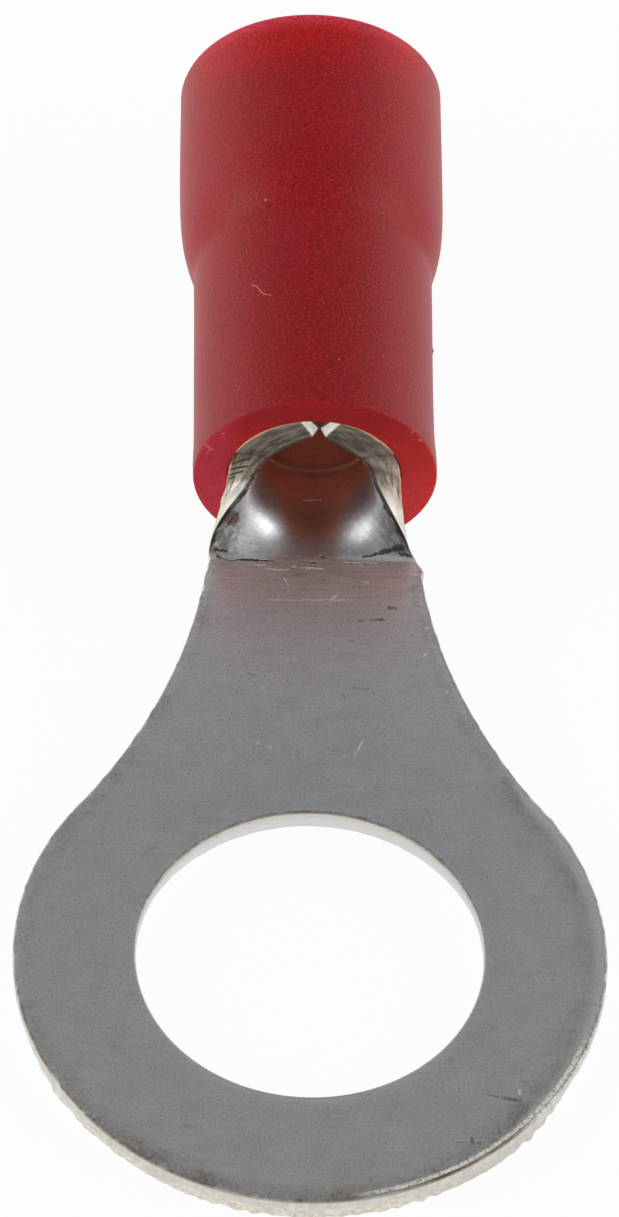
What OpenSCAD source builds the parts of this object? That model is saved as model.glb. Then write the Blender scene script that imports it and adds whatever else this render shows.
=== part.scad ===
// Insulated ring terminal for a 1/4 inch (M6) stud, for 0.5 to 1.5 mm2 wire.
// Millimetres. The origin is the centre of the stud hole on the seating face,
// +Z leaves the ring's top face and +Y runs towards the wire entry.

/* [Stud ring] */
// Outside diameter of the ring
ring_d = 11.38; // [9.5:0.01:14]
// Diameter of the stud hole
hole_d = 6.7; // [5:0.05:8.4]
// Thickness of the stamped sheet
sheet_t = 0.6; // [0.4:0.01:0.9]

/* [Tongue] */
// Radius of the hollow flanks between the ring and the barrel
flank_r = 11.96; // [8:0.01:20]
// Width of the tongue at its narrowest
waist_w = 4.0; // [3:0.01:5]
// Distance from the stud centre to the line where the sheet starts to roll up
bend_y = 9.56; // [8:0.01:10]

/* [Rolled barrel] */
// Outside diameter of the barrel
barrel_d = 3.44; // [2.8:0.01:4.2]
// Distance from the stud centre to the barrel's front end
barrel_y = 10.83; // [10.3:0.01:12]
// Length of the barrel
barrel_len = 4.7; // [3.5:0.05:6]
// Width of the open V of the seam at the barrel's outside
seam_w = 0.62; // [0.1:0.01:0.9]
// Gap left where the two sheet edges meet at the inside
seam_gap = 0.03; // [0.02:0.01:0.2]

/* [Grip grooves] */
// Number of grooves across the barrel's inside
groove_n = 3; // [1:1:3]
// Width of one groove
groove_w = 0.15; // [0.08:0.01:0.4]
// Depth of one groove
groove_deep = 0.07; // [0.03:0.01:0.15]
// Distance from the barrel's front end to the first groove
groove_first = 0.84; // [0.5:0.01:1.5]
// Distance from one groove to the next
groove_pitch = 1.3; // [0.6:0.01:1.6]

/* [Roll-up between tongue and barrel] */
// How far round from the bottom the sides have closed at the barrel's front end
roll_angle = 109; // [80:1:130]
// How early the sides rise: a higher number rises sooner
roll_rise = 2.0; // [1:0.05:3]
// How late the sheet widens: a higher number widens later
roll_spread = 2.6; // [1:0.05:4]

/* [Insulating sleeve] */
// Distance from the stud centre to the sleeve's front end
sleeve_y = 10.78; // [10.3:0.01:12]
// Length of the sleeve
sleeve_len = 9.92; // [8:0.01:12]
// Outside diameter over the barrel
sleeve_d = 4.8; // [4.4:0.01:6]
// Outside diameter of the wire entry
flare_d = 5.34; // [4.9:0.01:6.5]
// Wall thickness of the wire entry
flare_wall = 0.62; // [0.4:0.01:0.9]
// Length of the narrow part
grip_len = 4.8; // [4:0.01:6]
// Length of the taper between the narrow part and the wire entry
taper_len = 1.75; // [0.8:0.01:2.5]
// Rounding of the rear rim's outer edge
rear_round = 0.2; // [0.05:0.01:0.3]
// Rounding of the front end's outer edge
front_round = 0.07; // [0.03:0.01:0.2]

/* [Fit] */
// Radial gap between the barrel and the sleeve
fit_gap = 0.01; // [0.005:0.001:0.05]

/* [Hidden] */
$fn = 96;
ring_r = ring_d / 2;
hole_r = hole_d / 2;
flank_x = waist_w / 2 + flank_r;
flank_y = sqrt(pow(ring_r + flank_r, 2) - pow(flank_x, 2));
blend = ring_r / (ring_r + flank_r);
bend_half = flank_x - sqrt(pow(flank_r, 2) - pow(flank_y - bend_y, 2));
barrel_r = barrel_d / 2;
bore_r = barrel_r - sheet_t;
mid_r = barrel_r - sheet_t / 2;
axis_z = barrel_r;
sleeve_r = sleeve_d / 2;
flare_r = flare_d / 2;
sleeve_bore_r = barrel_r + fit_gap;
entry_r = flare_r - flare_wall;
skin = 0.012;
lap = 0.2;
over = 0.5;
roll_steps = 20;
arc_steps = 36;
taper_steps = 12;
metal = [0.62, 0.63, 0.64];
red = [0.66, 0.1, 0.13];

// Smooth 0 to 1 step used by the sleeve's taper.
function ease(u) = u * u * (3 - 2 * u);

// Share of the barrel's curvature reached at u, 0 at the bend and 1 at the barrel.
function curl(u) = max(1 - pow(1 - u, roll_rise), 0.001);

// Half of the sheet's unrolled width at u.
function half_width(u) =
    bend_half + (mid_r * roll_angle * PI / 180 - bend_half) * pow(u, roll_spread);

// One corner of the rolled section: side is 1 for the outer skin and -1 for the inner,
// v runs from -1 to 1 across the sheet.
function roll_point(y, u, v, side) =
    let (
        r = mid_r / curl(u),
        a = v * (half_width(u) - skin) / r * 180 / PI,
        rr = r + side * (sheet_t / 2 - skin)
    )
    [rr * sin(a), y, sheet_t / 2 + r - rr * cos(a)];

// Closed loop of one section: outer skin one way, inner skin back.
function roll_loop(y, u) = concat(
    [for (j = [0:arc_steps]) roll_point(y, u, 2 * j / arc_steps - 1, 1)],
    [for (j = [0:arc_steps]) roll_point(y, u, 1 - 2 * j / arc_steps, -1)]
);

// The ring and the tongue, flat on the seating plane.
module flat_blank() {
    linear_extrude(height = sheet_t) difference() {
        union() {
            circle(r = ring_r);
            difference() {
                polygon([
                    [-flank_x, flank_y * blend],
                    [flank_x, flank_y * blend],
                    [flank_x, bend_y],
                    [-flank_x, bend_y]
                ]);
                for (side = [-1, 1]) translate([side * flank_x, flank_y]) circle(r = flank_r);
            }
        }
        circle(r = hole_r);
    }
}

// The short length where the flat sheet rolls up into the barrel.
module roll_up() {
    stations = concat(
        [[bend_y - lap, 0]],
        [for (i = [0:roll_steps]) [bend_y + (barrel_y - bend_y) * i / roll_steps, i / roll_steps]],
        [[barrel_y + lap, 1]]
    );
    loop_n = 2 * (arc_steps + 1);
    last = len(stations) - 1;
    points = [for (s = stations) each roll_loop(s[0], s[1])];
    walls = [
        for (i = [0:last - 1]) for (j = [0:loop_n - 1])
            let (k = (j + 1) % loop_n, a = i * loop_n, b = a + loop_n)
            each [[a + j, b + k, b + j], [a + j, a + k, b + k]]
    ];
    front = [for (j = [0:arc_steps - 1]) let (k = loop_n - 1 - j)
        each [[j, k - 1, j + 1], [j, k, k - 1]]];
    back = [for (f = front) [f[2] + last * loop_n, f[1] + last * loop_n, f[0] + last * loop_n]];
    polyhedron(points = points, faces = concat(walls, front, back));
}

// Cylinder along +Y that starts at y on the barrel's axis.
module along(y, r, length) {
    translate([0, y, axis_z]) rotate([-90, 0, 0]) cylinder(r = r, h = length);
}

// The rolled barrel with its V seam at the top and its grip grooves.
module barrel() {
    slope = (seam_w - seam_gap) / 2 / sheet_t;
    low = bore_r - over;
    high = barrel_r + over;
    difference() {
        along(barrel_y, barrel_r, barrel_len);
        along(barrel_y - over, bore_r, barrel_len + 2 * over);
        for (i = [0:groove_n - 1])
            along(barrel_y + groove_first + i * groove_pitch, bore_r + groove_deep, groove_w);
        translate([0, barrel_y + barrel_len + over, axis_z]) rotate([90, 0, 0])
            linear_extrude(height = barrel_len + 2 * over) polygon([
                [-seam_gap / 2, low],
                [seam_gap / 2, low],
                [seam_gap / 2, bore_r],
                [seam_gap / 2 + slope * (high - bore_r), high],
                [-seam_gap / 2 - slope * (high - bore_r), high],
                [-seam_gap / 2, bore_r]
            ]);
    }
}

module terminal() {
    color(metal) union() {
        flat_blank();
        roll_up();
        barrel();
    }
}

// Half section of the sleeve, x is the radius and y the distance from its front end.
module sleeve_section() {
    taper_end = grip_len + taper_len;
    grow = flare_r - sleeve_r;
    open = entry_r - sleeve_bore_r;
    difference() {
        polygon(concat(
            [[sleeve_bore_r, 0], [sleeve_r, 0]],
            [for (i = [0:taper_steps]) let (u = i / taper_steps)
                [sleeve_r + grow * ease(u), grip_len + taper_len * u]],
            [[flare_r, sleeve_len], [entry_r, sleeve_len], [entry_r, taper_end]],
            [for (i = [1:taper_steps]) let (u = 1 - i / taper_steps)
                [sleeve_bore_r + open * ease(u), grip_len + taper_len * u]]
        ));
        difference() {
            translate([flare_r - rear_round, sleeve_len - rear_round]) square(rear_round + over);
            translate([flare_r - rear_round, sleeve_len - rear_round]) circle(r = rear_round);
        }
        difference() {
            translate([sleeve_r - front_round, front_round - over - front_round])
                square([over + front_round, over + front_round]);
            translate([sleeve_r - front_round, front_round]) circle(r = front_round);
            translate([sleeve_r - front_round - over, front_round]) square(2 * over);
        }
    }
}

module sleeve() {
    color(red) translate([0, sleeve_y, axis_z]) rotate([-90, 0, 0])
        rotate_extrude() sleeve_section();
}

terminal();
sleeve();
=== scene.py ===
import math

import bpy
import numpy as np
from mathutils import Matrix


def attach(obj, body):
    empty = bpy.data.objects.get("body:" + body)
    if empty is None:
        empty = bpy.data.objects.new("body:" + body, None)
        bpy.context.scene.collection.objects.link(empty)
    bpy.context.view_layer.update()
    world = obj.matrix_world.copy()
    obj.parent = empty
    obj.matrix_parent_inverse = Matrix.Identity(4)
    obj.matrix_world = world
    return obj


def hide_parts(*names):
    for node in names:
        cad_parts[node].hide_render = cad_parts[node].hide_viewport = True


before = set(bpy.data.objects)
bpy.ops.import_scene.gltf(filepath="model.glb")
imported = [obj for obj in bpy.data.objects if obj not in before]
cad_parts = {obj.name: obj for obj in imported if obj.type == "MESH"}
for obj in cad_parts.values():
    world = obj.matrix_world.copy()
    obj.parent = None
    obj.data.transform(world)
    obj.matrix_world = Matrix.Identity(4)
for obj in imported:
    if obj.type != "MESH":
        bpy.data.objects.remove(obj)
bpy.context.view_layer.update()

# ---------------------------------------------------------------- the terminal
# One piece of half-hard copper sheet, tin plated. A press stamps the ring and tongue,
# rolls the rear of the blank into a barrel and butts its two edges in a V seam.
# The stamped edges keep a rounded upper lip, a bright sheared band and a torn lower one.

MM = 0.001
# Sizes in millimetres: the ring, its hole and the sheet, then the circles of the hollow flanks.
ring_r, hole_r, sheet = 5.69, 3.35, 0.6
flank_r, flank_x = 11.96, 13.96
flank_y = math.sqrt((ring_r + flank_r) ** 2 - flank_x**2)
touch_angle = math.atan2(flank_x, flank_y)
# Distances from the stud's centre to the bend, the barrel's mouth and its rear end, then half
# widths of the blank at the bend, at the kinks of the front edge and at the seam.
bend_y, barrel_y, barrel_end = 9.56, 10.83, 15.53
barrel_r = 1.72
mid_r = barrel_r - sheet / 2
bend_half = flank_x - math.sqrt(flank_r**2 - (flank_y - bend_y) ** 2)
kink_half = mid_r * math.radians(111.3)
seam_half = mid_r * math.radians(179.7)
# How far the kinks stand ahead of the mouth, how wide the cut tips of the flaps are, how far each
# seam edge slopes through the sheet, and how far in from the barrel's ends their trim reaches.
kink_lead, tip_cut, seam_slope, end_reach = 0.19, 0.17, 0.218, 0.4
groove_starts, groove_w, groove_deep = (0.84, 2.14, 3.44), 0.15, 0.07
# The lip that the punch rounds over, and the level through the sheet below which the cut tore.
lip_reach, lip_drop, tear_level = 0.35, 0.035, 0.58


def ease(u):
    """Smooth step from 0 to 1: 3u² - 2u³ with u held between 0 and 1."""
    u = np.clip(u, 0, 1)
    return u * u * (3 - 2 * u)


def fading(distance, reach):
    """1 at no distance, 0 from reach on, and straight in between."""
    return np.clip(1 - distance / reach, 0, 1)


def lean(y):
    """How far the rolled end stands off the ring's centre line at y: straight between four
    places."""
    return np.interp(y, [2.0, 8.8, 10.8, 20.7], [0.0, 0.053, 0.060, -0.026])


def uneven(run, seed, slow, fast, count=14):
    """Repeatable uneven line of height about 1: a sum of sines at rates from slow to fast
    radians a millimetre, each as high as 1 over the root of its rate."""
    rng = np.random.default_rng(seed)
    rate = rng.uniform(slow, fast, count)
    phase = rng.uniform(0, 2 * np.pi, count)
    high = 1 / np.sqrt(rate)
    waves = np.sin(np.asarray(run)[..., None] * rate + phase) * high
    return waves.sum(-1) / np.sqrt((high**2).sum() / 2)


def half_width(y, side):
    """Half of the unrolled width on the roll-up: it grows from the bend's half to the kink's half
    as u^1.16 on the left and u^1.4 on the right, where it is pinched in behind the bend;
    u is the share of the roll-up's length."""
    u = np.clip((y - bend_y) / (barrel_y - bend_y), 0, 1)
    pinch = 0.07 * ease((y - bend_y) / 0.14) * (1 - ease((y - bend_y - 0.3) / 0.7))
    grown = bend_half + (kink_half - bend_half) * u ** np.where(side > 0, 1.4, 1.16)
    return grown - np.where(side > 0, pinch, 0)


def curl(w, y):
    """Share of the barrel's curvature reached on the roll-up: 1 - (1 - v)^2.65, where
    v = u²·(1 + a)/(u + a) starts softly; a is 0.3 on the left and 0.03 on the right,
    where the stroke of the press fell harder."""
    u = np.clip((y - bend_y) / (barrel_y - bend_y), 0, 1)
    soft = 0.3 - 0.27 * ease((w + 1.0) / 2.0)
    return 1 - (1 - u * u * (1 + soft) / (u + soft)) ** 2.65


def fold(w, y, n):
    """Where a point of the flat blank lies once rolled: w across, y along, n up through the sheet.
    The mid surface bends to radius r = mid_r / curl about a line above it, so
    x = (r + sheet/2 - n)·sin(w/r) and z = sheet/2 + r - (r + sheet/2 - n)·cos(w/r);
    on the barrel the free flaps flatten into a low gable, by two tables of change in radius,
    and their seam is turned 3.4 degrees to the right."""
    r = mid_r / np.maximum(curl(w, y), 1e-4)
    turn = w / r
    degrees = np.degrees(np.abs(turn))
    outside = np.interp(
        degrees, [108, 120, 137, 155, 170, 180], [0, -0.015, -0.034, -0.016, 0.004, 0.006]
    )
    inside = np.interp(
        degrees,
        [108, 114, 120.6, 127, 133, 140, 147, 157, 167, 173, 177.3, 180],
        [0, -0.068, -0.138, -0.157, -0.166, -0.172, -0.168, -0.122, -0.044, 0.022, 0.085, 0.150],
    )
    formed = ease((y - barrel_y + 0.35) / 0.35)
    reach = r + sheet / 2 - n + formed * (outside * (1 - n / sheet) + inside * (n / sheet))
    turn = turn - 0.060 * formed * ease((degrees - 120) / 60)
    x, z = reach * np.sin(turn) + lean(y), sheet / 2 + r - reach * np.cos(turn)
    return np.stack([x, y + 0 * w, z], -1)


def edge_gap(w, y):
    """Distance in from the blank's cut edge: from the ring's circle, the flanks' circles,
    the roll-up's slanting sides, and the flaps' front, seam and rear edges."""
    side = np.abs(w)
    ring = ring_r - np.hypot(w, y)
    flank = np.hypot(side - flank_x, y - flank_y) - flank_r
    flat = np.where((y > 0) & (side < y * math.tan(touch_angle)), flank, ring)
    roll = (half_width(y, np.sign(w)) - side) * 0.8
    front = np.where(side > kink_half, y - barrel_y, np.hypot(kink_half - side, y - barrel_y))
    tube = np.minimum(np.minimum(seam_half - side, barrel_end - y), front)
    return np.where(y <= bend_y, flat, np.where(y < barrel_y, roll, tube))


def rim_gap(w, y):
    """Distance in from whichever is nearer, the outline or the stud hole."""
    return np.minimum(edge_gap(w, y), np.hypot(w, y) - hole_r)


def inner_skin(w, y):
    """Height of the sheet's upper skin: the full thickness, less the lip that the punch rounds
    over, lip_drop·(1 - gap/lip_reach)^2.5, less the grip grooves, plus one faint ridge that the
    rolling mandrel leaves behind the barrel's mouth."""
    lip = lip_drop * fading(rim_gap(w, y), lip_reach) ** 2.5
    along = y - barrel_y
    groove = sum(
        ease((along - start) / 0.02) * ease((start + groove_w - along) / 0.02)
        for start in groove_starts
    )
    ridge = 0.010 * np.exp(-(((along - 0.22) / 0.018) ** 2) - (w / 0.24) ** 2)
    return sheet - lip - groove_deep * groove + ridge


# The outline of the blank, clockwise from the right-hand touch of ring and flank:
# ring, left neck, roll-up, front and seam edges of the left flap, rear end, and back again.
ring_turn = np.linspace(touch_angle, 2 * np.pi - touch_angle, 621)
ring_line = ring_r * np.stack([np.sin(ring_turn), np.cos(ring_turn)], -1)
neck_start = math.atan2(ring_line[-1, 1] - flank_y, ring_line[-1, 0] + flank_x)
neck_end = math.asin((bend_y - flank_y) / flank_r)
neck_turn = np.linspace(neck_start, neck_end, 151)
neck_line = np.stack(
    [-flank_x + flank_r * np.cos(neck_turn), flank_y + flank_r * np.sin(neck_turn)], -1
)
roll_y = bend_y + (barrel_y - bend_y) * np.linspace(0, 1, 45)
mouth_rows, rear_rows = np.linspace(0, 0.8, 21), np.linspace(0.8, barrel_end - barrel_y, 20)
groove_rows = [start + np.array([0, 0.01, 0.02, 0.13, 0.14, 0.15]) for start in groove_starts]
tube_y = barrel_y + np.unique(np.concatenate([mouth_rows, rear_rows] + groove_rows).round(4))
across = np.linspace(-1, 1, 65)
flap_share = np.concatenate([np.linspace(0, 0.84, 28), np.linspace(0.84, 1, 14)[1:]])
flap_w = kink_half + (seam_half - kink_half) * flap_share
rear_w = np.concatenate([-flap_w[::-1], across[1:-1] * kink_half, flap_w])
MIRROR = np.array([-1, 1])


def line_of(w, y):
    """Points of the blank from its w and its y, whichever of them is one number."""
    return np.stack(np.broadcast_arrays(w, y), -1)


front_line, seam_line = line_of(-flap_w, barrel_y), line_of(-seam_half, tube_y)
runs = [
    ring_line,
    neck_line[1:],
    line_of(-half_width(roll_y, -1), roll_y)[1:],
    front_line[1:],
    seam_line[1:],
    line_of(rear_w, barrel_end)[1:],
    (seam_line * MIRROR)[::-1][1:],
    (front_line * MIRROR)[::-1][1:],
    line_of(half_width(roll_y, 1), roll_y)[::-1][1:],
    (neck_line * MIRROR)[::-1][1:-1],
]
outline = np.concatenate(runs)
left_bend, left_kink, left_tip, left_rear, right_rear, right_tip, right_kink, right_bend = (
    np.cumsum([len(line) for line in runs])[1:9] - 1
)
ahead = np.roll(outline, -1, 0) - outline
side_out = np.stack([-ahead[:, 1], ahead[:, 0]], -1) / np.hypot(*ahead.T)[:, None]
side_before = np.roll(side_out, 1, 0)
outward = (side_out + side_before) / (1 + (side_out * side_before).sum(-1, keepdims=True))
run = np.concatenate([[0], np.cumsum(np.hypot(*ahead.T))[:-1]])

# How far the cut face stands in from the outline, at each level from the upper skin, 1, to the
# lower, 0: sheared all round the blank, blunt where the press squeezed it at kinks and barrel.
level = np.array(
    [1, 0.985, 0.955, 0.91, 0.85, 0.74, 0.62, 0.53, 0.44, 0.35, 0.26, 0.17, 0.09, 0.03, 0]
)
torn = np.clip((tear_level - level) / tear_level, 0, 1)
sheared = np.interp(
    level,
    [0, 0.03, 0.09, tear_level, 0.91, 0.955, 0.985, 1],
    [0.035, 0.015, 0.005, 0, 0, 0.004, 0.012, 0.024],
)
blunt = np.interp(
    level,
    [0, 0.03, 0.09, 0.2, 0.91, 0.955, 0.985, 1],
    [0.03, 0.013, 0.004, 0, 0, 0.001, 0.005, 0.012],
)
slant = seam_slope * (1 - level) + blunt

# Where each sample of the outline lies: its share of the flap, the cut tip, the barrel's two
# ends, the roll-up and the kink.
flat_w, flat_y = outline[:, :1], outline[:, 1:]
flap_part = np.clip((np.abs(flat_w) - kink_half) / (seam_half - kink_half), 0, 1)
tip_part = np.clip((np.abs(flat_w) - seam_half + tip_cut) / tip_cut, 0, 1)
front_part = fading(flat_y - barrel_y, end_reach)
rear_part = fading(barrel_end - flat_y, end_reach)
on_right = flat_w > 0
on_tube = flat_y >= barrel_y
on_tube[[left_kink, right_kink]] = False
roll_part = (flat_y - bend_y) / (barrel_y - bend_y)
kink_part = ease((roll_part - 0.7) / 0.3)

# What moves the cut in or out: rolling pulls its foot inwards, a nub stands out at the right of
# the bend, ring and neck are a little fuller than their circles except at the front, and the
# torn foot draws in all along except at the very front, most behind the bend on the right.
pulled = (1 - level) * np.interp(
    roll_part, [-0.05, 0, 0.15, 0.3, 0.6, 0.8, 1], [0, 0.03, 0.11, 0.18, 0.21, 0.17, 0.0]
)
nub = 0.085 * np.exp(-(((flat_y - 9.33) / 0.13) ** 2)) * on_right
before_bend = 1 - ease((flat_y - 9.0) / 0.7)
fuller = ease((flat_y + 4.0) / 4.0) * before_bend * np.where(on_right, 0.045, 0.025)
fuller = fuller + ease((flat_y - 3.5) / 2.5) * before_bend * np.where(on_right, 0.025, 0.010)
foot_right = np.interp(
    -flat_y, [2.2, 2.7, 3.2, 3.6, 4.3, 5.0], [0.06, 0.125, 0.05, 0.01, -0.015, 0]
)
foot_left = np.interp(-flat_y, [2.2, 2.9, 4.4, 5.3], [0.06, 0.03, 0.05, 0])
foot_in = np.where(on_right, foot_right, foot_left)
foot_in = foot_in + ease((flat_y - 9.3) / 0.3) * np.where(on_right, 0.045, 0.015)
edge_in = sheared * (1 - kink_part) + blunt * kink_part + pulled - nub - fuller
edge_in = edge_in + foot_in * fading(level, 0.6)

# The torn part is rough: grit on each sample and uneven teeth along the run, calmed at corners.
corners = np.array([left_kink, left_tip, left_rear, right_rear, right_tip, right_kink])
calm = np.clip(np.abs(run[:, None] - run[corners]).min(1) / 0.15, 0, 1)[:, None]
grit = np.random.default_rng(5).normal(size=(len(run), len(level)))
grit = (np.roll(grit, 1, 0) + 2 * grit + np.roll(grit, -1, 0)) / 2.45
tear = np.where(on_tube, 0.006, 0.018) * calm
teeth = uneven(run, 3, 4, 30) * (0.65 + 0.35 * uneven(run, 14, 0.6, 2.5))
lip_wave = uneven(run, 8, 4, 30)[:, None] * (level > 0.97)
rough = tear * (torn * (0.3 * grit + teeth[:, None] * torn) + 0.3 * lip_wave)

# On the barrel the cut slides in the flat: the seam edges slope, the mouth's kinks lead and the
# tips are cut back. Elsewhere it moves square to the outline.
slide = np.stack(
    [
        -np.sign(flat_w) * (slant * flap_part - kink_lead * level * (1 - flap_part) * front_part),
        blunt * (front_part - rear_part) + (0.07 + 0.09 * level) * tip_part * front_part,
    ],
    -1,
)
lead = np.sign(flat_w) * kink_lead * level * kink_part * (roll_part > 0)
lead = np.stack([lead, 0 * lead], -1)
square_in = outward[:, None] * edge_in[..., None]
shift = np.where(on_tube[..., None], slide, lead - square_in) - outward[:, None] * rough[..., None]
edge_at = outline[:, None] + shift
edge_n = level * inner_skin(edge_at[:, 0, 0], edge_at[:, 0, 1])[:, None]

# The stud hole's wall, one column for each sample of the outline of ring and tongue;
# the punch left the hole a little flat at the front.
bend_line = line_of(across[1:-1] * bend_half, bend_y)
flat_line = np.concatenate([outline[: left_bend + 1], bend_line, outline[right_bend:]])
bearing = np.arctan2(*flat_line.T)
hole_in = np.interp(
    level,
    [0, 0.03, 0.1, 0.5, 0.91, 0.955, 0.985, 1],
    [0.095, 0.085, 0.078, 0, 0, 0.004, 0.010, 0.020],
)
hole_in = hole_in - 0.05 * np.clip(-np.cos(bearing), 0, 1)[:, None] ** 2
jag = 0.004 * torn * (uneven(bearing * hole_r, 21, 3, 14)[:, None] + 0.2 * grit[: len(bearing)])
even = np.clip(np.abs(np.abs(bearing) - np.pi) / 0.05, 0, 1)[:, None]
hole_way = np.stack([np.sin(bearing), np.cos(bearing)], -1)
hole_at = (hole_r + hole_in + jag * even)[..., None] * hole_way[:, None]
hole_n = level * inner_skin(hole_at[:, 0, 0], hole_at[:, 0, 1])[:, None]


def skin_grids(rim, hole, near):
    """The grids that cover one skin, in the flat: ring and tongue ruled outwards from the hole
    with close rows near each edge, then rows across roll-up and barrel, then the two flaps."""
    first, last = rim[left_bend], rim[right_bend]
    bend = first + (last - first) * ((across + 1) / 2)[:, None]
    outer = np.concatenate([rim[: left_bend + 1], bend[1:-1], rim[right_bend:]])
    gap = np.hypot(*(outer - hole).T)[:, None]
    middle = near[-1] + (gap - 2 * near[-1]) * np.linspace(0, 1, 6)[1:-1]
    steps = np.concatenate([near + 0 * gap, middle, gap - near[::-1]], 1) / gap
    flat = hole[:, None] + (outer - hole)[:, None] * steps[..., None]
    left, right = rim[left_bend : left_kink + 1], rim[right_kink : right_bend + 1][::-1]
    roll = left[:, None] + (right - left)[:, None] * ((across + 1) / 2)[:, None]
    front, rear = rim[left_tip, 1] - barrel_y, barrel_end - rim[left_rear, 1]
    rows = tube_y + front * fading(tube_y - barrel_y, end_reach)
    rows = rows - rear * fading(barrel_end - tube_y, end_reach)
    fade = fading(tube_y - barrel_y, 0.8)
    left_hip, right_hip = (
        kink_half + (abs(rim[k, 0]) - kink_half) * fade for k in (left_kink, right_kink)
    )
    centre, spread = (right_hip - left_hip)[1:, None] / 2, (right_hip + left_hip)[1:, None] / 2
    tube = line_of(centre + across * spread, rows[1:, None])
    ends, n = rim[left_rear : right_rear + 1], len(flap_share)
    tube[-1] = ends[n - 1 : 1 - n]
    strip = np.concatenate([roll, tube])
    left_front, left_seam = rim[left_kink : left_tip + 1], rim[left_tip : left_rear + 1]
    right_front, right_seam = rim[right_tip : right_kink + 1], rim[right_rear : right_tip + 1]
    flaps = []
    for side, hip, start, seam, end in (
        (-1, left_hip, left_front, left_seam, ends[:n][::-1]),
        (1, right_hip, right_front[::-1], right_seam[::-1], ends[-n:]),
    ):
        reach = hip[:, None] + (np.abs(seam[:, :1]) - hip[:, None]) * flap_share
        flap = line_of(side * reach, rows[:, None])
        flap[0], flap[:, -1], flap[-1] = start, seam, end
        flaps.append(flap)
    return flat, strip, flaps


def grid(points, marks, wrap=False, flip=False):
    """Four-sided faces over rows and columns of points, each facing along row times column unless
    flipped; wrap joins the last row to the first."""
    rows, cols = points.shape[:2]
    steps = rows if wrap else rows - 1
    i, j = np.meshgrid(np.arange(steps), np.arange(cols - 1), indexing="ij")
    this, following = i * cols + j, (i + 1) % rows * cols + j
    faces = np.stack([this, following, following + 1, this + 1], -1).reshape(-1, 4)
    marks = {key: np.broadcast_to(value, (rows, cols)).ravel() for key, value in marks.items()}
    return points.reshape(-1, 3), faces[:, ::-1] if flip else faces, marks


def make_piece(name, grids, crease):
    """One mesh from grids in millimetres: points that fall together are welded, keeping the first
    grid's marks as point attributes, and edges sharper than crease degrees stay crisp."""
    starts = np.cumsum([0] + [len(points) for points, faces, marks in grids[:-1]])
    points = np.concatenate([g[0] for g in grids])
    faces = np.concatenate([g[1] + s for g, s in zip(grids, starts)])
    marks = {key: np.concatenate([g[2][key] for g in grids]) for key in grids[0][2]}
    places = np.round(points * 1e5).astype(np.int64)
    first, same = np.unique(places, axis=0, return_index=True, return_inverse=True)[1:]
    points, faces = points[first], same.reshape(-1)[faces]
    mesh = bpy.data.meshes.new(name)
    mesh.from_pydata(points * MM, [], faces.tolist())
    mesh.polygons.foreach_set("use_smooth", np.ones(len(mesh.polygons), bool))
    mesh.set_sharp_from_angle(angle=math.radians(crease))
    for key, values in marks.items():
        attribute = mesh.attributes.new(key, "FLOAT", "POINT")
        attribute.data.foreach_set("value", values[first].astype(np.float32))
    piece = bpy.data.objects.new(name, mesh)
    bpy.context.scene.collection.objects.link(piece)
    return piece


def sheet_marks(at, rim, depth):
    """What the finish reads at each point: distance in from the cut edge, depth through the sheet
    (0 above, 1 at the foot of the cut, 2 below) and the place on the flat blank."""
    return {"rim": rim, "depth": depth, "across": at[..., 0], "along": at[..., 1]}


edge_wall = fold(edge_at[..., 0], edge_at[..., 1], edge_n)
hole_wall = fold(hole_at[..., 0], hole_at[..., 1], hole_n)
terminal_grids = [
    grid(edge_wall, sheet_marks(edge_at, 0, 1 - level), wrap=True),
    grid(hole_wall, sheet_marks(hole_at, 0, 1 - level), wrap=True, flip=True),
]
upper_near, lower_near = [0, 0.03, 0.08, 0.15, 0.24, lip_reach], [0, 0.03]
for lower, row, near, depth in ((False, 0, upper_near, 0.0), (True, -1, lower_near, 2.0)):
    flat, strip, flaps = skin_grids(edge_at[:, row], hole_at[:, row], np.array(near))
    for at, wrap, flip in (
        (flat, True, False),
        (strip, False, True),
        (flaps[0], False, False),
        (flaps[1], False, True),
    ):
        w, y = at[..., 0], at[..., 1]
        skin = fold(w, y, 0 * w if lower else inner_skin(w, y))
        marks = sheet_marks(at, rim_gap(w, y), depth)
        terminal_grids.append(grid(skin, marks, wrap, flip != lower))
terminal = make_piece("stamped_terminal", terminal_grids, crease=38)


class Field:
    """A value, colour or vector that changes over a surface: one node's output socket.
    Arithmetic on values adds Math nodes."""

    def __init__(self, finish, socket):
        self.finish, self.socket = finish, socket

    def math(self, operation, *values):
        return self.finish.node("ShaderNodeMath", {"operation": operation}, dict(enumerate(values)))

    def __add__(self, other):
        return self.math("ADD", self, other)

    def __sub__(self, other):
        return self.math("SUBTRACT", self, other)

    def __rsub__(self, other):
        return self.math("SUBTRACT", other, self)

    def __mul__(self, other):
        return self.math("MULTIPLY", self, other)

    def __truediv__(self, other):
        return self.math("DIVIDE", self, other)

    def __pow__(self, other):
        return self.math("POWER", self, other)

    __radd__, __rmul__ = __add__, __mul__

    def size(self):
        return self.math("ABSOLUTE", self)

    def low(self, other):
        return self.math("MINIMUM", self, other)

    def high(self, other):
        return self.math("MAXIMUM", self, other)

    def between(self, low, high):
        """0 up to low, 1 from high on and a smooth step in between; low may be the greater."""
        links = {"Value": self, "From Min": low, "From Max": high}
        return self.finish.node("ShaderNodeMapRange", {"interpolation_type": "SMOOTHSTEP"}, links)


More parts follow.
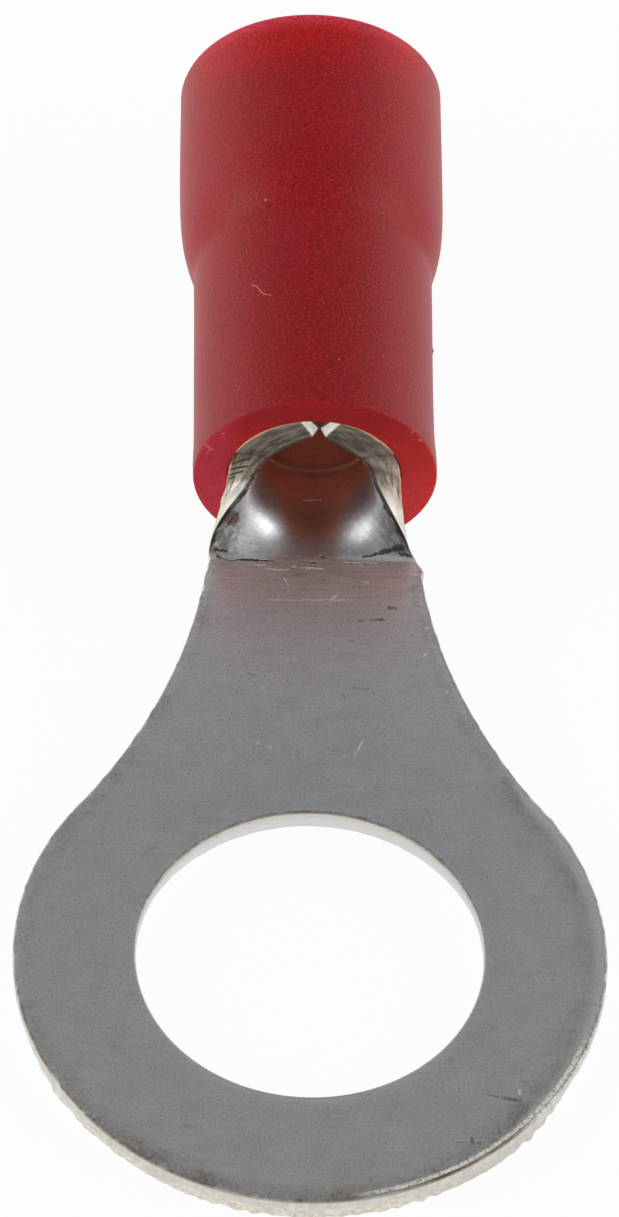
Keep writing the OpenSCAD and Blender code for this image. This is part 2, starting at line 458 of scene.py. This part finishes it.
class Finish:
    """The node tree of one material, or of the world."""

    def __init__(self, owner):
        owner.use_nodes = True
        self.tree = owner.node_tree
        self.tree.nodes.clear()

    def node(self, kind, settings=(), sockets=(), out=0):
        """Adds any node: its settings first, then the values or links of its sockets."""
        node = self.tree.nodes.new(kind)
        for key, value in dict(settings).items():
            setattr(node, key, value)
        for key, value in dict(sockets).items():
            if isinstance(value, Field):
                self.tree.links.new(value.socket, node.inputs[key])
            else:
                node.inputs[key].default_value = value
        return Field(self, node.outputs[out]) if node.outputs else node

    def mark(self, name):
        return self.node("ShaderNodeAttribute", {"attribute_name": name}, out="Fac")

    def place(self, x, y, z):
        return self.node("ShaderNodeCombineXYZ", (), {0: x, 1: y, 2: z})

    def noise(self, where, scale, detail=3.0, roughness=0.5):
        """Cloudy value about 0.5, scale lumps to a millimetre of the place that is read."""
        links = {"Vector": where, "Scale": scale, "Detail": detail, "Roughness": roughness}
        return self.node("ShaderNodeTexNoise", (), links)

    def blend(self, share, first, second):
        """Colour that goes from first to second as share goes from 0 to 1."""
        links = {0: share, 6: first, 7: second}
        return self.node("ShaderNodeMix", {"data_type": "RGBA"}, links, out=2)

    def bump(self, deep, relief):
        """Surface direction tipped by a relief that stands deep millimetres high at 1."""
        links = {"Strength": 1.0, "Distance": deep * MM, "Height": relief}
        return self.node("ShaderNodeBump", (), links, out="Normal")

    def stroke(self, x, y, start, end, width):
        """1 on a thin straight scratch from start to end and 0 off it: the distance from the point
        to the nearest place of the segment, faded out over the width."""
        (ax, ay), (bx, by) = start, end
        long = (bx - ax) ** 2 + (by - ay) ** 2
        share = (((x - ax) * (bx - ax) + (y - ay) * (by - ay)) / long).high(0.0).low(1.0)
        off_x, off_y = x - ax - share * (bx - ax), y - ay - share * (by - ay)
        return (off_x * off_x + off_y * off_y).between(width**2, (width * 0.3) ** 2)


def linear(red, green, blue):
    """A colour from its 0 to 255 screen values: ((c/255 + 0.055)/1.055)^2.4 for each channel."""
    return tuple(((c / 255 + 0.055) / 1.055) ** 2.4 for c in (red, green, blue)) + (1.0,)


# Places and patterns that the finish reads, in millimetres on the flat blank: across and along
# it, the gap to the rim, and the depth into the cut as a share of the sheet.
tin = bpy.data.materials.new("worn_tin_plate")
f = Finish(tin)
rim, depth, over, along = f.mark("rim"), f.mark("depth"), f.mark("across"), f.mark("along")
sheet_place = f.place(over, along, depth * sheet)
on_cut = depth.between(0.02, 0.09) * depth.between(1.3, 1.05)
on_top = depth.between(0.12, 0.08)
on_form = along.between(bend_y - 0.05, bend_y + 0.15)
bore_gap = (over * over + along * along) ** 0.5 - hole_r
rolled = f.noise(f.place(over * 0.5, along * 7.0, depth), 1.6, 4.0, 0.65)
clouds = f.noise(sheet_place, 1.3, 4.0, 0.65)
specks = f.noise(sheet_place, 7.0, 3.0, 0.65)
crumbs = f.noise(sheet_place, 13.0, 4.0, 0.7)
dots = f.noise(sheet_place, 22.0, 2.0, 0.6)
patches = f.noise(sheet_place, 1.4, 4.0, 0.7)
ruffled = f.noise(sheet_place, 5.0, 4.0, 0.7) - 0.5

# The plate: faint lines of the rolling mill under a mottled bloom, and rubbed smudges.
face = f.blend(clouds.between(0.36, 0.64), linear(218, 219, 217), linear(222, 225, 231))
# Lighter towards the bend: a painted reflection of the red sleeve on the plate.
face = f.blend(along.between(3.0, 9.0) * 0.75, face, linear(246, 244, 248))
sleeve_reflection_band = along.between(7.9, 9.2)
reflection_streaks = f.noise(f.place(over * 0.9, along * 13.0, depth), 1.6, 3.0, 0.6)
face = f.blend(sleeve_reflection_band * 0.9, face, linear(255, 255, 255))
face = f.blend(rolled.between(0.62, 0.30) * 0.22, face, linear(198, 197, 194))
# Pinkish streaks near the bend: the painted reflection of the red sleeve.
face = f.blend(reflection_streaks.between(0.52, 0.30) * sleeve_reflection_band * 0.45, face, linear(196, 184, 186))
pores = dots.between(0.48, 0.25) * 0.75 + specks.between(0.40, 0.24) * 0.2
face = f.blend(pores, face, linear(172, 170, 166))
face = f.blend(dots.between(0.58, 0.74) * 0.6, face, linear(250, 250, 252))
smudge = patches.between(0.58, 0.72) * specks.between(0.40, 0.60)
face = f.blend(smudge * 0.35, face, linear(150, 142, 128))

# Brown grime lies along the ring's edge, further in on the right, behind a painted highlight on the
# rounded lip, in a thin line round the hole and in specks behind the lip.
away_from_hole = bore_gap.between(0.7, 0.95)
right_side = over.between(1.3, 2.4)
set_in = 0.04 + right_side * along.between(-5.0, -3.2) * along.between(5.0, 3.0) * 0.26
front = along.between(-1.5, -4.6)
grime = (rim - set_in + ruffled * 0.5).between(0.46, 0.04) * (set_in - rim).between(0.14, 0.0)
grime = grime * away_from_hole * (1 - on_form) * on_top
grime = grime * (patches.between(0.36, 0.62) * 0.55 + 0.28 + front * 0.1)
grime = grime * (crumbs.between(0.64, 0.42) * 0.5 + 0.5)
face = f.blend(grime * (0.66 + front * 0.22), face, linear(118, 107, 92))
# Painted glints on the rounded lip at the front right, made less metallic so that they show white.
lip_glint = (rim + ruffled * 0.03).between(0.15, 0.11) * rim.between(0.04, 0.06)
lip_glint = lip_glint * over.between(0.6, 1.6) * along.between(-1.6, -2.4)
lip_glint = lip_glint * crumbs.between(0.36, 0.54) * away_from_hole * on_top
face = f.blend(lip_glint, face, linear(250, 240, 226))
edge_line = rim.between(0.055, 0.030) * along.between(1.0, -1.5) * on_top * away_from_hole
edge_dirt = edge_line * (patches.between(0.36, 0.60) * 0.3 + 0.2 + right_side * 0.4)
face = f.blend(edge_dirt, face, linear(116, 98, 80))
# A painted highlight on the rounded lip along the right side.
lip_sheen = rim.between(0.24, 0.12) * set_in.between(0.15, 0.28)
lip_sheen = lip_sheen * away_from_hole * (1 - on_form) * on_top
face = f.blend(lip_sheen * (crumbs.between(0.42, 0.60) * 0.4 + 0.15), face, linear(246, 246, 244))
hole_line = (bore_gap + ruffled * 0.16).between(0.070, 0.035)
hole_line = hole_line * (patches.between(0.40, 0.60) * 0.25 + 0.6) * along.between(-0.5, 2.0)
face = f.blend(hole_line * on_top * 0.85, face, linear(118, 98, 76))

# The roll-up: painted shade and reflections, darker corners and dark ragged lines along its edges.
# Painted shade over the scoop, greyest on the right and lighter at its left corner, dims the lamps'
# reflections.
scoop_shade = 0.54 + over.between(0.2, 0.9) * 0.38
scoop_shade = scoop_shade - over.between(-0.9, -1.4) * along.between(10.0, 9.8) * 0.45
scoop_shade = scoop_shade + along.between(9.95, 9.75) * over.between(0.5, 1.2) * 0.3
scoop_shade = scoop_shade - specks.between(0.46, 0.62) * 0.22
face = f.blend(on_form * scoop_shade * on_top, face, linear(176, 178, 182))
# Inside the barrel a warm tint, partly a painted reflection of the red sleeve, with light and dark
# specks.
in_barrel = (along - over.size().between(0.30, 1.3) * 1.05).between(9.5, 10.4) * on_top
warm_tint_and_reflection = f.blend(along.between(10.5, 11.3), linear(200, 148, 122), linear(255, 190, 164))
warm_tint_and_reflection = f.blend(dots.between(0.50, 0.28) * 0.5, warm_tint_and_reflection, linear(164, 112, 92))
warm_tint_and_reflection = f.blend(dots.between(0.56, 0.74) * 0.4, warm_tint_and_reflection, linear(255, 214, 190))
face = f.blend(in_barrel * 0.95, face, warm_tint_and_reflection)
# Painted shade in the first grip groove.
groove_shade = along.between(11.60, 11.68) * along.between(12.10, 11.90) * on_top
face = f.blend(groove_shade * 0.5, face, linear(186, 160, 138))
# Darker grey in the corners of the roll-up, near its cut edges.
corner_darkening = on_form * along.between(10.45, 9.95)
corner_darkening = corner_darkening * (rim + ruffled * 0.5).between(0.66, 0.20) * on_top
face = f.blend(corner_darkening * (specks.between(0.34, 0.54) * 0.5 + 0.4), face, linear(112, 107, 100))
pit_over, pit_along = over + 2.08, along - 10.04
pit = pit_over * pit_over / 0.04 + pit_along * pit_along / 0.006 + ruffled * 3.0
pit = pit.between(1.3, 0.7) * on_top
pit_tint = f.blend(crumbs.between(0.40, 0.60), linear(72, 56, 48), linear(140, 112, 96))
face = f.blend(pit * 0.85, face, pit_tint)
ragged = rim + ruffled * 0.34 + (crumbs - 0.5) * 0.12
dark_lip = ragged.between(0.095, 0.045) * along.between(9.6, 9.8)
dark_lip = dark_lip * along.between(11.2, 10.9) * on_top
face = f.blend(dark_lip * (specks.between(0.34, 0.52) * 0.35 + 0.57), face, linear(70, 56, 48))


def marks_of(strokes, across, onward):
    """The strongest of several strokes, each given as (start, end, width) in millimetres."""
    total = None
    for start, end, width in strokes:
        one = f.stroke(across, onward, start, end, width)
        total = one if total is None else total.high(one)
    return total


# Bright scratches and a painted highlight along the mandrel's ridge, brown nicks and dark lines in
# the creases at the bend, each from start to end and so wide, with their places on the flat blank
# shaken a little so that no edge is straight.
worn_over, worn_along = over + ruffled * 0.10, along + (crumbs - 0.5) * 0.10
scratches_and_ridge_highlight = marks_of(
    [
        ((0.86, 4.74), (1.02, 5.10), 0.020),
        ((-1.19, 9.42), (-0.94, 9.39), 0.018),
        ((-0.89, 9.33), (-0.67, 9.28), 0.016),
        ((-0.67, 9.28), (-0.47, 9.30), 0.014),
        ((-0.42, 9.38), (-0.20, 9.35), 0.022),
        ((-0.14, 9.36), (0.20, 9.33), 0.018),
        ((0.60, 9.50), (1.30, 9.48), 0.014),
        ((-0.89, 8.53), (0.80, 8.56), 0.010),
        ((0.35, 8.53), (0.49, 8.67), 0.018),
        ((-0.57, 9.10), (-0.47, 8.88), 0.012),
        ((1.02, 9.00), (1.12, 9.00), 0.018),
        ((-1.05, 4.98), (-1.02, 5.03), 0.026),
        ((-0.86, 4.92), (-0.78, 4.90), 0.024),
        ((2.24, 7.86), (2.30, 7.93), 0.030),
        ((2.22, 7.20), (2.26, 7.25), 0.026),
        ((2.66, 6.30), (2.69, 6.34), 0.024),
        ((-0.98, 6.37), (-0.95, 6.38), 0.026),
        ((3.99, -3.12), (3.99, -3.20), 0.045),
        # A painted highlight along the faint ridge behind the barrel's mouth.
        ((-0.25, 11.05), (0.22, 11.04), 0.016),
    ],
    over + ruffled * 0.06,
    along + ruffled * 0.05,
) * on_top
scratches_and_ridge_highlight = scratches_and_ridge_highlight * (crumbs.between(0.40, 0.56) * 0.7 + 0.3)
nicks = marks_of(
    [
        ((1.50, 8.38), (1.64, 8.38), 0.045),
        ((1.16, 8.07), (1.38, 8.09), 0.048),
        ((0.90, 8.06), (0.99, 8.05), 0.034),
        ((0.75, 7.54), (0.80, 7.56), 0.040),
        ((0.60, 6.20), (0.66, 6.16), 0.034),
        ((0.76, 6.39), (1.12, 6.36), 0.040),
        ((1.18, 6.30), (1.40, 6.16), 0.032),
        ((-0.72, 6.70), (-0.70, 6.70), 0.034),
        ((-1.26, 6.74), (-1.10, 6.68), 0.034),
        ((1.41, 5.02), (1.42, 5.02), 0.040),
        ((-2.05, 6.28), (-1.98, 6.28), 0.034),
        ((3.66, -3.30), (3.99, -3.36), 0.055),
        ((3.36, -3.24), (3.60, -3.28), 0.026),
        ((3.07, -4.22), (3.07, -4.33), 0.050),
        ((3.20, -4.34), (3.23, -4.34), 0.050),
        ((2.75, -4.31), (3.00, -4.33), 0.024),
    ],
    worn_over,
    worn_along,
) * on_top
# Dark lines along the creases at the bend, also pressed into the relief.
bend_crease_lines = marks_of(
    [
        ((-1.98, 9.69), (-1.74, 9.68), 0.022),
        ((-1.93, 9.62), (-1.66, 9.50), 0.020),
        ((-1.66, 9.50), (-1.46, 9.54), 0.026),
        ((-1.48, 9.54), (-1.10, 9.53), 0.036),
        ((-1.10, 9.53), (-0.78, 9.52), 0.022),
        ((1.00, 9.63), (1.22, 9.64), 0.022),
        ((1.22, 9.65), (1.50, 9.68), 0.030),
        ((1.48, 9.68), (1.90, 9.70), 0.044),
        ((1.78, 9.64), (1.98, 9.62), 0.022),
        ((0.64, 9.48), (1.22, 9.47), 0.016),
        ((0.18, 9.65), (0.22, 9.61), 0.036),
        ((-0.04, 9.49), (0.06, 9.48), 0.028),
    ],
    worn_over,
    worn_along,
) * on_top
face = f.blend(scratches_and_ridge_highlight * 0.60, face, linear(250, 248, 244))
filled = 0.32 + along.between(7.7, 8.0) * 0.35 + along.between(-2.0, -3.0) * 0.3
face = f.blend(nicks * specks.between(0.30, 0.52) * filled, face, linear(112, 102, 86))
face = f.blend(bend_crease_lines * 0.88, face, linear(70, 56, 50))

# The cut: matt and mottled where the sheet sheared and tore; darker, browner and scored across on
# the formed flaps, partly a painted reflection of the tongue before them, with painted glints below
# the kinks and low on the roll-up's cut edge; fresh again at the seam's chamfers.
streaks = f.noise(f.place(over * 7.0, along * 7.0, depth * 0.8), 1.0, 3.0, 0.6)
torn_part = (depth + (f.noise(sheet_place, 2.4, 3.0, 0.6) - 0.5) * 0.7).between(0.30, 0.60)
in_hole = bore_gap.between(0.6, 0.4)
cut = f.blend(streaks.between(0.30, 0.70), linear(204, 201, 192), linear(224, 222, 214))
torn_tint = f.blend(specks.between(0.38, 0.62), linear(212, 205, 188), linear(242, 237, 225))
torn_tint = f.blend(over.between(1.5, 3.5) * 0.75, torn_tint, linear(200, 198, 192))
cut = f.blend(torn_part * 0.7, cut, torn_tint)
cut = f.blend(crumbs.between(0.60, 0.72) * 0.4, cut, linear(150, 126, 96))
bore_tint = f.blend(depth.between(0.10, 0.42), linear(214, 210, 202), linear(220, 220, 220))
bore_stain = specks.between(0.55, 0.70) * depth.between(0.35, 0.05) * 0.6
bore_tint = f.blend(bore_stain, bore_tint, linear(172, 150, 120))
cut = f.blend(in_hole, cut, bore_tint)
at_seam = (over.size() + depth * 0.20 + ruffled * 0.05).between(seam_half - 0.15, seam_half - 0.12)
# The formed flaps' cut is painted darker and browner, partly a painted reflection of the grey
# tongue in front.
dark_flaps = (along + ruffled * 0.15).between(10.15, 10.50) * (1 - at_seam)
scored = marks_of(
    [
        ((10.772, 0.60), (10.784, 0.29), 0.020),
        ((10.715, 0.60), (10.684, 0.23), 0.016),
        ((10.650, 0.58), (10.640, 0.30), 0.018),
        ((10.606, 0.60), (10.598, 0.42), 0.014),
        ((10.560, 0.09), (10.575, 0.03), 0.026),
    ],
    along + ruffled * 0.02,
    depth * sheet,
) * over.between(-2.0, -2.2)
right_score = ((along - 10.66 + ruffled * 0.06).size() * 9.0 + depth * 0.4).between(0.9, 0.2)
scored = scored.high(right_score * over.between(2.0, 2.2) * 0.6)
drawn = f.noise(f.place(over * 1.6, along * 1.6, depth * 4.5), 1.6, 4.0, 0.6)
flap_tint = f.blend(drawn.between(0.32, 0.68), linear(100, 87, 72), linear(182, 170, 154))
flap_tint = f.blend(dots.between(0.45, 0.62) * 0.3, flap_tint, linear(112, 98, 84))
# A painted glint on the cut just below each kink, weaker on the right.
kink_glint = (along - 10.42 + ruffled * 0.12).size().between(0.13, 0.05) * drawn.between(0.30, 0.65)
kink_glint = kink_glint * (0.85 - over.between(0.0, 1.0) * 0.55)
flap_tint = f.blend(kink_glint, flap_tint, linear(240, 238, 232))
flap_tint = f.blend(scored * 0.9, flap_tint, linear(44, 34, 28))
cut = f.blend(dark_flaps * 0.94, cut, flap_tint)
# A painted glint low on the roll-up's cut edges, just behind the bend.
roll_cut_glint = along.between(10.2, 9.95) * along.between(9.45, 9.7)
cut = f.blend(roll_cut_glint * streaks.between(0.35, 0.65) * 0.5, cut, linear(240, 239, 236))
gold = depth.between(0.93, 0.98) * along.between(10.0, 10.3) * (1 - at_seam)
cut = f.blend(gold * 0.8, cut, linear(246, 206, 160))
burr = depth.between(0.16, 0.07) * (1 - in_hole) * (1 - at_seam)
on_roll = along.between(9.4, 9.7)
burr_tint = f.blend(on_roll, linear(172, 160, 142), linear(104, 90, 78))
cut = f.blend(burr * (0.5 + on_roll * 0.35), cut, burr_tint)
fresh = at_seam * along.between(10.5, 10.8) * (specks.between(0.34, 0.50) * 0.45 + 0.55)
cut = f.blend(fresh, cut, linear(250, 246, 234))
colour = f.blend(on_cut, face, cut)

# Dirt is duller than bare tin, and every mark is felt in the relief.
plate_rough = 0.40 + in_barrel * 0.06 + on_form * over.between(0.2, 0.9) * 0.04
plate_rough = plate_rough + edge_line * 0.2 + (rolled - 0.5) * 0.12 + grime * 0.25
plate_rough = plate_rough + hole_line * 0.2 + dark_lip * 0.25 + corner_darkening * 0.1
cut_rough = 0.50 + dark_flaps * 0.05 + (streaks - 0.5) * 0.15 + burr * 0.3
roughness = plate_rough * (1 - on_cut) + cut_rough * on_cut
relief = (rolled - 0.5) * 0.25 + (specks - 0.5) * 0.4 + (dots - 0.5) * 0.3 - scratches_and_ridge_highlight * 0.4
relief = relief - nicks * 0.6 - grime * 0.2 - bend_crease_lines - dark_lip - pit
relief = relief * (1 - on_cut) + on_cut * ((streaks - 0.5) * 0.9 + (crumbs - 0.5) * 2.2)
shader = f.node(
    "ShaderNodeBsdfPrincipled",
    (),
    {
        "Base Color": colour,
        "Metallic": 1 - lip_glint.high(scratches_and_ridge_highlight * 0.6) * 0.75,
        "Roughness": roughness,
        "Normal": f.bump(0.006, relief),
    },
)
f.node("ShaderNodeOutputMaterial", (), {"Surface": shader})
terminal.data.materials.append(tin)
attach(terminal, "root")
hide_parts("terminal")

# ---------------------------------------------------------------- the sleeve
# A moulded tube of red PVC that insulates the barrel and funnels the wire in.
# It is pushed over the rolled barrel, and its front lip bulges a little to the right.

# Sizes in millimetres: where the front end lies and how long the tube is, its outside over the
# barrel and at the wire entry, the entry's inside, the two roundings and the bore.
sleeve_y, sleeve_len = 10.78, 9.92
sleeve_r, flare_r, entry_r = 2.40, 2.67, 2.05
front_round, rear_round = 0.05, 0.09
bore_r = barrel_r + 0.01
grip_len, taper_len = 4.8, 1.75
axis_z = barrel_r


def corner(at, radius, start, end, count):
    """Quarter round of that radius about a centre (distance along, distance out), from start to
    end degrees."""
    turn = np.radians(np.linspace(start, end, count))
    return at + radius * np.stack([np.cos(turn), np.sin(turn)], -1)


def bore_radius(u):
    """Radius of the inside at distance u from the front: a smooth step over the taper."""
    return bore_r + (entry_r - bore_r) * ease((u - grip_len) / taper_len)


def skin_radius(u):
    """Radius of the outside: it leaves the narrow part in a soft corner and levels out towards
    the wire entry as 1 - e^(-v²/(v + 0.9)/0.37), where v is the distance behind the corner."""
    v = np.clip(u - 5.0, 0, None)
    return sleeve_r + (flare_r - sleeve_r) * (1 - np.exp(-v * v / (v + 0.9) / 0.37))


# Samples along the outside, closer at the nub of flash and at the shoulder, and back along the
# inside, closer in the funnel.
skin_u = np.concatenate(
    [
        np.linspace(0.09, 3.0, 15),
        np.linspace(3.06, 3.30, 9),
        np.linspace(3.4, 4.9, 8),
        np.linspace(4.96, 5.25, 8),
        np.linspace(5.3, 7.0, 22),
        np.linspace(7.1, 9.78, 15),
    ]
)
bore_u = np.concatenate(
    [
        np.linspace(9.78, 6.6, 14),
        np.linspace(6.55, grip_len, 22),
        np.linspace(grip_len, 0.08, 16)[1:],
    ]
)
rear_u = sleeve_len - rear_round
section = np.concatenate(
    [
        corner(np.array([front_round, bore_r + front_round]), front_round, 270, 180, 5),
        corner(np.array([front_round, sleeve_r - front_round]), front_round, 180, 90, 7),
        line_of(skin_u, skin_radius(skin_u)),
        corner(np.array([rear_u, flare_r - rear_round]), rear_round, 90, 0, 9),
        corner(np.array([rear_u, entry_r + rear_round]), rear_round, 0, -90, 7),
        line_of(bore_u, bore_radius(bore_u)),
    ]
)


def revolve(section, count):
    """Carries a closed section round the barrel's axis: x = r·sin a and z = r·cos a off the axis.
    The outside waves by a hundredth of a millimetre and is a little fuller on the right,
    where its front lip stands out and one nub of flash is left."""
    turn = np.linspace(0, 2 * np.pi, count, endpoint=False)[:, None]
    u, r = section[:, 0], section[:, 1]
    outer = ease((r - bore_radius(u)) / 0.3)
    to_right, to_left = np.clip(np.sin(turn), 0, 1), np.clip(-np.sin(turn), 0, 1)
    wave = 0.008 * np.sin(2 * turn + 0.7 * u) + 0.006 * np.sin(3 * turn - 1.1 * u + 2)
    wave = wave + 0.018 * to_right
    lip = np.exp(-(((u - 0.25) / 0.45) ** 2)) * (0.030 * to_right**2 + 0.02 * to_left**4)
    lip = lip + 0.03 * np.exp(-(((u - 3.185) / 0.045) ** 2) - ((turn - 1.53) / 0.022) ** 2)
    reach = r + outer * (wave + lip)
    y = sleeve_y + u + 0 * turn
    return np.stack([reach * np.sin(turn) + lean(y), y, axis_z + reach * np.cos(turn)], -1)


sleeve_points = revolve(np.concatenate([section, section[:1]]), 256)
sleeve = make_piece("moulded_sleeve", [grid(sleeve_points, {}, wrap=True)], crease=50)

# The vinyl reads its place on the sleeve in millimetres.
pvc = bpy.data.materials.new("red_vinyl_skin")
f = Finish(pvc)
spot = f.node("ShaderNodeTexCoord", (), (), out="Object")
spot = f.node("ShaderNodeMapping", (), {"Vector": spot, "Scale": (1 / MM, 1 / MM, 1 / MM)})
x, y, z = (f.node("ShaderNodeSeparateXYZ", (), {0: spot}, out=k) for k in range(3))
cloud = f.noise(spot, 0.5, 3.0, 0.5)
pebbles = f.noise(spot, 10.0, 2.0, 0.6)
grain = f.noise(spot, 20.0, 2.0, 0.7)
red = f.blend(y.between(13.0, 17.5), linear(158, 12, 16), linear(173, 9, 13))
red = f.blend(cloud.between(0.60, 0.35) * 0.5, red, linear(160, 16, 24))
red = f.blend(y.between(18.8, 20.7) * x.size().between(2.6, 1.8), red, linear(212, 9, 15))

# Light comes through the thin wall at the wire entry and through the low sides of the front end.
rear_glow = y.between(sleeve_y + 9.45, sleeve_y + 9.88) * x.size().between(2.9, 1.4) * 0.9
red = f.blend(rear_glow, red, linear(240, 66, 88))
front_end = y.between(sleeve_y + 0.04, sleeve_y + 0.01)
lit = f.blend(z.between(3.6, 2.7), linear(172, 5, 4), linear(204, 24, 24))
lit = f.blend(z.between(2.8, 1.0), lit, linear(232, 46, 44))
lit = f.blend(x.between(-1.3, -1.8) * 0.7, lit, linear(202, 44, 74))
red = f.blend(front_end, red, lit)

# Pebbled skin, dust, one hair, and scuffs on the front rim.
red = f.blend(cloud.between(0.52, 0.70) * 0.25, red, linear(160, 26, 62))
calm_front = 1 - front_end * 0.45
red = f.blend(grain.between(0.54, 0.28) * calm_front * 0.90, red, linear(114, 9, 15))
red = f.blend(grain.between(0.52, 0.76) * calm_front * 0.72, red, linear(208, 50, 52))
red = f.blend(pebbles.between(0.50, 0.30) * calm_front * 0.22, red, linear(128, 8, 14))
hair = marks_of(
    [
        ((-1.225, 14.001), (-1.128, 13.930), 0.013),
        ((-1.128, 13.930), (-1.052, 13.764), 0.014),
        ((-1.052, 13.764), (-0.961, 13.655), 0.014),
        ((-0.961, 13.655), (-0.845, 13.607), 0.012),
        ((-0.962, 16.055), (-0.956, 16.068), 0.028),
        ((0.494, 11.865), (0.498, 11.870), 0.022),
    ],
    x,
    y,
)
hair = hair * z.between(2.2, 2.6)
scuff = marks_of(
    [
        ((-2.20, 2.78), (-1.99, 2.56), 0.050),
        ((-1.99, 2.56), (-2.12, 2.40), 0.040),
        ((-1.78, 3.05), (-1.76, 3.06), 0.040),
        ((1.95, 3.16), (1.96, 3.17), 0.045),
        ((2.12, 2.93), (2.14, 2.92), 0.045),
        ((1.64, 2.72), (1.65, 2.73), 0.030),
    ],
    x,
    z,
)
scuff = scuff * front_end
red = f.blend(hair * 0.65, red, linear(236, 176, 170))
red = f.blend(scuff * pebbles.between(0.35, 0.55) * 0.6, red, linear(236, 120, 118))
relief = (pebbles - 0.5) * 0.8 + (grain - 0.5) * 1.0 + hair * 1.5 + scuff
shader = f.node(
    "ShaderNodeBsdfPrincipled",
    (),
    {
        "Base Color": red,
        "Roughness": 0.42 + (grain - 0.5) * 0.2 + front_end * 0.2,
        "IOR": 1.38,
        "Subsurface Weight": 0.15,
        "Subsurface Radius": (1.0, 0.12, 0.10),
        "Subsurface Scale": 0.4 * MM,
        "Normal": f.bump(0.009, relief),
    },
)
f.node("ShaderNodeOutputMaterial", (), {"Surface": shader})
sleeve.data.materials.append(pvc)
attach(sleeve, "root")
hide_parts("sleeve")

# ---------------------------------------------------------------- the table, light and camera
# The terminal lies on a white table, on the ring's front edge and the sleeve's underside,
# under a soft white tent with a broad lamp on each side.

tip_y, table_half, table_clear = -ring_r, 300.0, 0.02
slope = (sleeve_points[..., 2] / (sleeve_points[..., 1] - tip_y)).min()
square = table_half * np.array([[-1, -1], [1, -1], [1, 1], [-1, 1]])
table_z = (square[:, 1] - tip_y) * slope - table_clear
table_mesh = bpy.data.meshes.new("table")
table_mesh.from_pydata(np.column_stack([square, table_z]) * MM, [], [(0, 1, 2, 3)])
table = bpy.data.objects.new("table", table_mesh)
bpy.context.scene.collection.objects.link(table)

# The table shows white to the camera, in gloss and through glass, is matt to all other light
# and is clear from below.
pure_white = (1.0, 1.0, 1.0, 1.0)
white = bpy.data.materials.new("white_table")
f = Finish(white)
kinds = ("Camera", "Glossy", "Transmission")
rays = [f.node("ShaderNodeLightPath", (), (), out=f"Is {kind} Ray") for kind in kinds]
seen = rays[0].high(rays[1]).high(rays[2])
matt = f.node("ShaderNodeBsdfDiffuse", (), {"Color": (0.85, 0.85, 0.85, 1.0)})
glow = f.node("ShaderNodeEmission", (), {"Color": pure_white, "Strength": 1.0})
shown = f.node("ShaderNodeMixShader", (), {0: seen * 0.95, 1: matt, 2: glow})
below = f.node("ShaderNodeNewGeometry", (), (), out="Backfacing")
clear = f.node("ShaderNodeBsdfTransparent")
surface = f.node("ShaderNodeMixShader", (), {0: below, 1: shown, 2: clear})
f.node("ShaderNodeOutputMaterial", (), {"Surface": surface})
table_mesh.materials.append(white)

# The tent is white to the camera and lights the part less from above than from the sides.
world = bpy.data.worlds.new("soft_tent")
bpy.context.scene.world = world
f = Finish(world)
towards = f.node("ShaderNodeTexCoord", (), (), out="Generated")
height = f.node("ShaderNodeSeparateXYZ", (), {0: towards}, out=2)
tent = 1.0 - height.between(0.05, 0.62) * 0.75
camera_ray = f.node("ShaderNodeLightPath", (), (), out="Is Camera Ray")
strength = tent.high(camera_ray)
tent_light = f.node("ShaderNodeBackground", (), {"Color": pure_white, "Strength": strength})
f.node("ShaderNodeOutputWorld", (), {"Surface": tent_light})
part_middle = np.array([0, 0.0075, 0.001])


def lamp(name, bearing, elevation, distance, size, watts):
    """Square lamp at that bearing (0 behind the wire entry, 90 to the right), elevation and
    distance in metres from the part's middle, facing it."""
    light = bpy.data.lights.new(name, "AREA")
    light.shape, light.size, light.energy = "SQUARE", size, watts
    bulb = bpy.data.objects.new(name, light)
    turn, lift = math.radians(bearing), math.radians(elevation)
    out = math.cos(lift)
    way = np.array([math.sin(turn) * out, math.cos(turn) * out, math.sin(lift)])
    bulb.location = part_middle + way * distance
    bulb.rotation_euler = (math.pi / 2 - lift, 0, math.pi - turn)
    bpy.context.scene.collection.objects.link(bulb)


lamp("left_lamp", -92, 27, 0.30, 0.22, 0.39)
lamp("right_lamp", 92, 27, 0.30, 0.22, 0.37)

# The camera stands 162 mm from the centre of the ring's top face, 55 degrees above it and a
# little to the left, aims at the tongue and is tilted by two degrees.
elevation, bearing, tilt = (math.radians(degrees) for degrees in (55.005, -1.831, 2.118))
away = 162.0
aim = np.array([-0.0083, 8.3346, sheet])
eye = np.array(
    [
        away * math.sin(bearing) * math.cos(elevation),
        -away * math.cos(bearing) * math.cos(elevation),
        sheet + away * math.sin(elevation),
    ]
)
forward = aim - eye
forward /= np.linalg.norm(forward)
level_right = np.cross(forward, [0, 0, 1])
level_right /= np.linalg.norm(level_right)
level_up = np.cross(level_right, forward)
right = level_right * math.cos(tilt) + level_up * math.sin(tilt)
up = level_up * math.cos(tilt) - level_right * math.sin(tilt)
lens = bpy.data.cameras.new("camera")
lens.sensor_fit, lens.sensor_height, lens.lens = "VERTICAL", 36.0, 248.95
lens.clip_start, lens.clip_end = 0.01, 5.0
camera = bpy.data.objects.new("camera", lens)
stand = np.eye(4)
stand[:3, :3] = np.stack([right, up, -forward], 1)
stand[:3, 3] = eye * MM
camera.matrix_world = Matrix(stand.tolist())
bpy.context.scene.collection.objects.link(camera)
bpy.context.scene.camera = camera
bpy.context.scene.view_settings.view_transform = "Standard"
